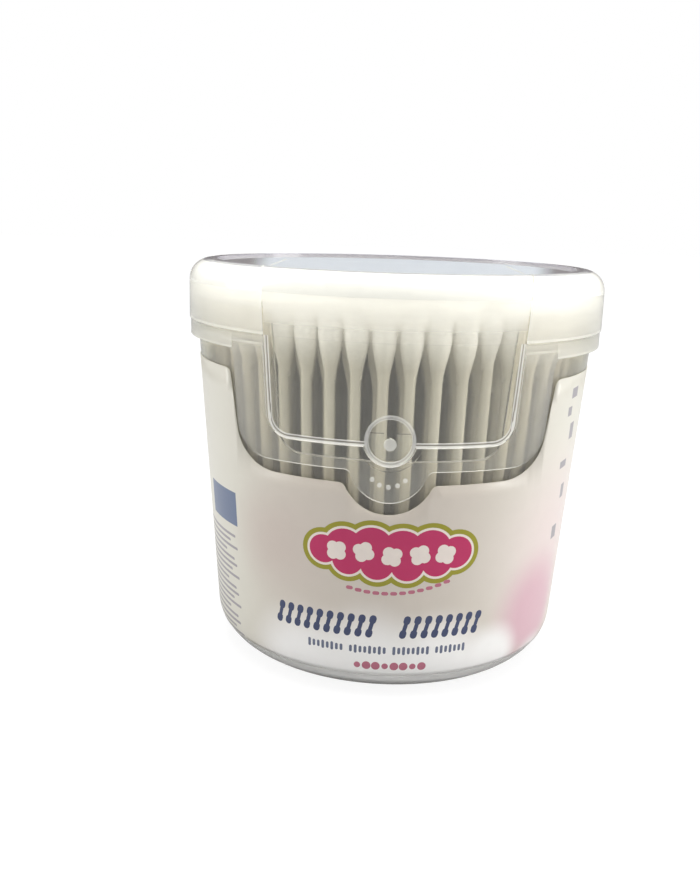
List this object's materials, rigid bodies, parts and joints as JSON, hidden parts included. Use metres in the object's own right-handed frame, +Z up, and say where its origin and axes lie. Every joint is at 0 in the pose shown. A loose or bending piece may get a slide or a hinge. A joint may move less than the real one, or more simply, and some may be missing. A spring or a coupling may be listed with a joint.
{
  "type": "cotton swab tub",
  "caption": "Round tapered tub of cotton swabs with a wrap-around label and a push-on cap whose front flap swings up for reaching in.",
  "frame": {"origin": "centre of the foot ring, on the surface that the tub stands on", "axes": "+Z up along the tub's axis, -Y towards the front flap, +X to the right seen from the front"},
  "size_m": [0.092, 0.092, 0.0871],
  "materials": {
    "frosted_plastic": "translucent moulded polypropylene, slightly hazy",
    "clear_plastic": "translucent moulded polypropylene, glossy top",
    "label_film": "printed film, satin, pale cotton ground",
    "stick_paper": "smooth rolled paper",
    "cotton": "wound cotton wool"
  },
  "bodies": {
    "tub_body": {"tub": "frosted_plastic", "label": "label_film", "swab_sticks_ring_1": "stick_paper", "swab_sticks_ring_2": "stick_paper", "swab_sticks_ring_3": "stick_paper", "swab_sticks_ring_4": "stick_paper", "swab_sticks_ring_5": "stick_paper", "swab_sticks_core": "stick_paper", "cotton_buds_ring_1": "cotton", "cotton_buds_ring_2": "cotton", "cotton_buds_ring_3": "cotton", "cotton_buds_ring_4": "cotton", "cotton_buds_ring_5": "cotton", "cotton_buds_core": "cotton"},
    "cap_body": {"cap": "clear_plastic"},
    "flap_body": {"flap": "clear_plastic"}
  },
  "joints": [
    {"name": "cap_lift", "type": "slide", "parent": "tub_body", "child": "cap_body", "axis": [0, 0, 1], "range_m": [0, 0.045]},
    {"name": "flap_hinge", "type": "hinge", "parent": "cap_body", "child": "flap_body", "pos_m": [0, 0.008, 0.0866], "axis": [-1, 0, 0], "range_deg": [0, 170]}
  ]
}
